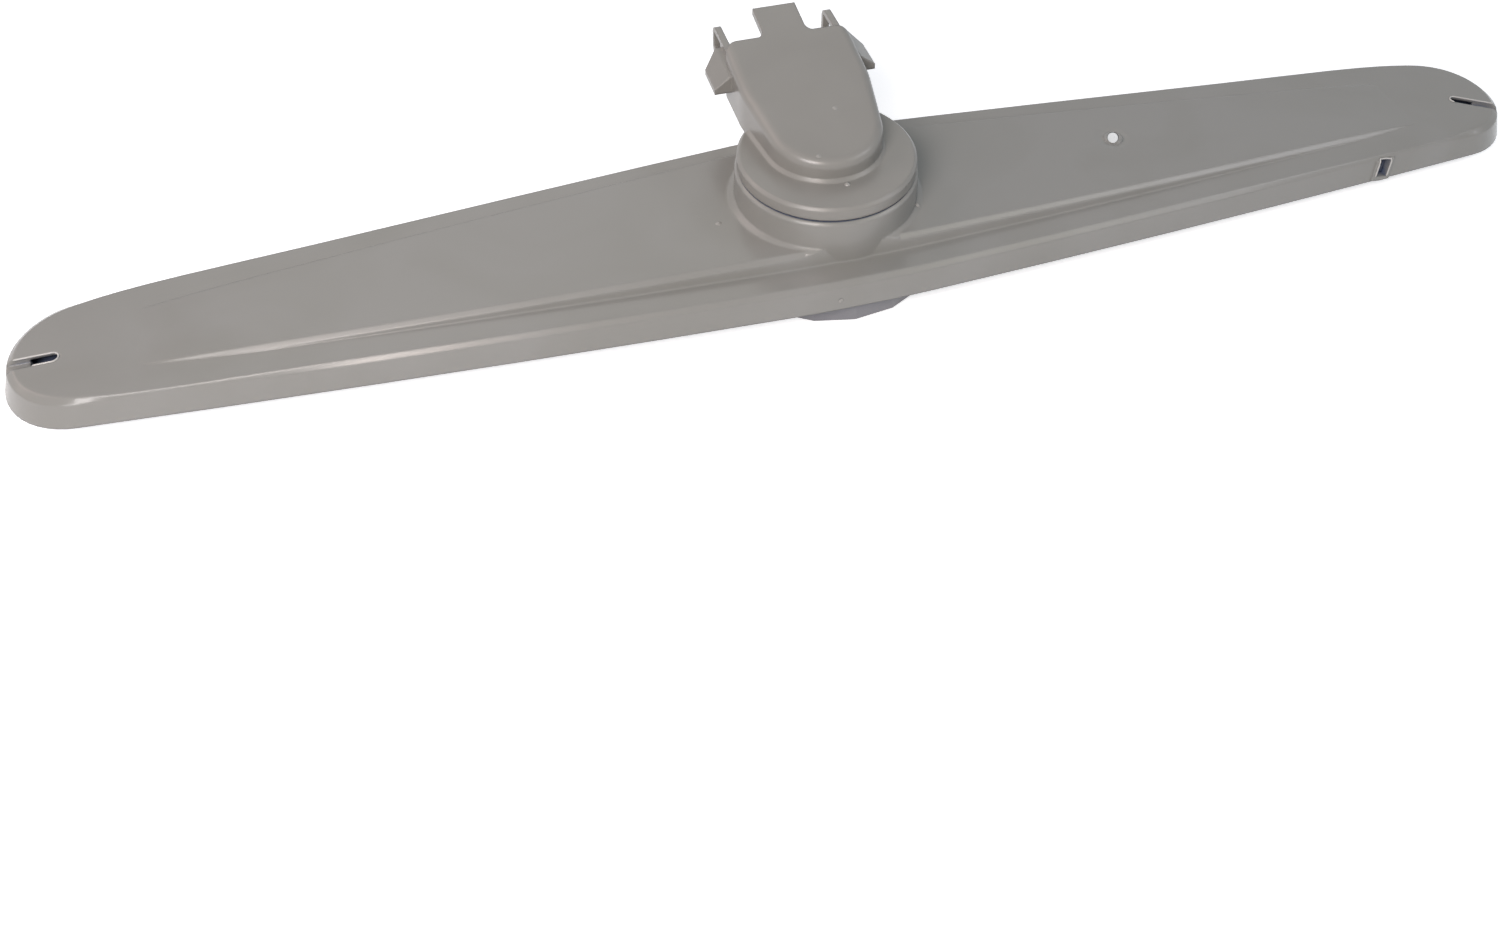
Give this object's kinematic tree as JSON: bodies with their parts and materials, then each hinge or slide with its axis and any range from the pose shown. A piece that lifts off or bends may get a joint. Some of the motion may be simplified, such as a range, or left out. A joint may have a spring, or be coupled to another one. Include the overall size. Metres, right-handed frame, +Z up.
{
  "type": "dishwasher spray arm",
  "caption": "Hollow tapered spray arm with a raised turret, jets at its tips and a flat feed elbow it turns under, held by a round hand nut.",
  "frame": {"origin": "centre of the nut's flat underside, on the axis that the arm turns about", "axes": "+X along the arm towards the tip with the slanted jet, +Y towards the mouth of the feed duct, +Z up along the turning axis"},
  "size_m": [0.4616, 0.0929, 0.0518],
  "materials": {
    "arm_plastic": "satin moulded grey polypropylene",
    "elbow_plastic": "satin moulded grey polypropylene",
    "nut_plastic": "satin moulded bluish grey polypropylene",
    "ring_plastic": "smooth dark grey acetal"
  },
  "bodies": {
    "feed": {"feed_elbow": "elbow_plastic", "hub_nut": "nut_plastic", "lower_slide_ring": "ring_plastic"},
    "arm": {"arm_upper_shell": "arm_plastic", "arm_lower_shell": "arm_plastic", "upper_slide_ring": "ring_plastic"}
  },
  "joints": [
    {"name": "arm_spin", "type": "hinge", "parent": "feed", "child": "arm", "pos_m": [0, 0, 0.0168], "axis": [0, 0, 1], "continuous": true}
  ]
}
